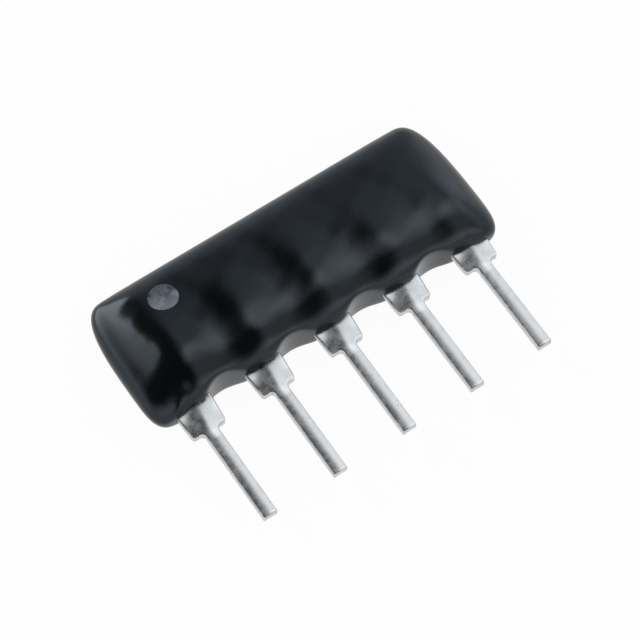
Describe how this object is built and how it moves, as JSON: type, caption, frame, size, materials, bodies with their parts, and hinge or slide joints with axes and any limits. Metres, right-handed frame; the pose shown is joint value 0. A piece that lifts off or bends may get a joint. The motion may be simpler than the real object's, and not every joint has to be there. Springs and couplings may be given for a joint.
{
  "type": "resistor network",
  "caption": "Single-in-line thick-film resistor network: a dipped black epoxy body with a pin-one dot, on a row of flat tin-plated clip leads with shoulders.",
  "frame": {"origin": "middle of the lead row on the board line, where the shoulders stop, and on the leads' middle plane", "axes": "+X along the lead row from the marked first lead to the last, -Y down the pins, +Z out of the marked front face; the part lies on the flat of its back"},
  "size_m": [0.0128, 0.0089, 0.0023],
  "materials": {
    "epoxy": "glossy dipped",
    "ink": "mottled ink",
    "alumina": "as fired",
    "conductor": "fired film",
    "glaze": "fired glass film",
    "resistor": "fired film",
    "solder": "reflowed",
    "tin": "matte tin plate"
  },
  "bodies": {
    "root": {"epoxy_coating": "epoxy", "pin_1_dot": "ink", "ceramic_substrate": "alumina", "common_conductor": "conductor", "overglaze": "glaze", "end_pad_2": "conductor", "end_pad_3": "conductor", "end_pad_4": "conductor", "end_pad_5": "conductor", "resistor_1": "resistor", "resistor_2": "resistor", "resistor_3": "resistor", "resistor_4": "resistor", "solder_joint_1": "solder", "solder_joint_2": "solder", "solder_joint_3": "solder", "solder_joint_4": "solder", "solder_joint_5": "solder", "lead_1": "tin", "lead_2": "tin", "lead_3": "tin", "lead_4": "tin", "lead_5": "tin"}
  },
  "joints": []
}
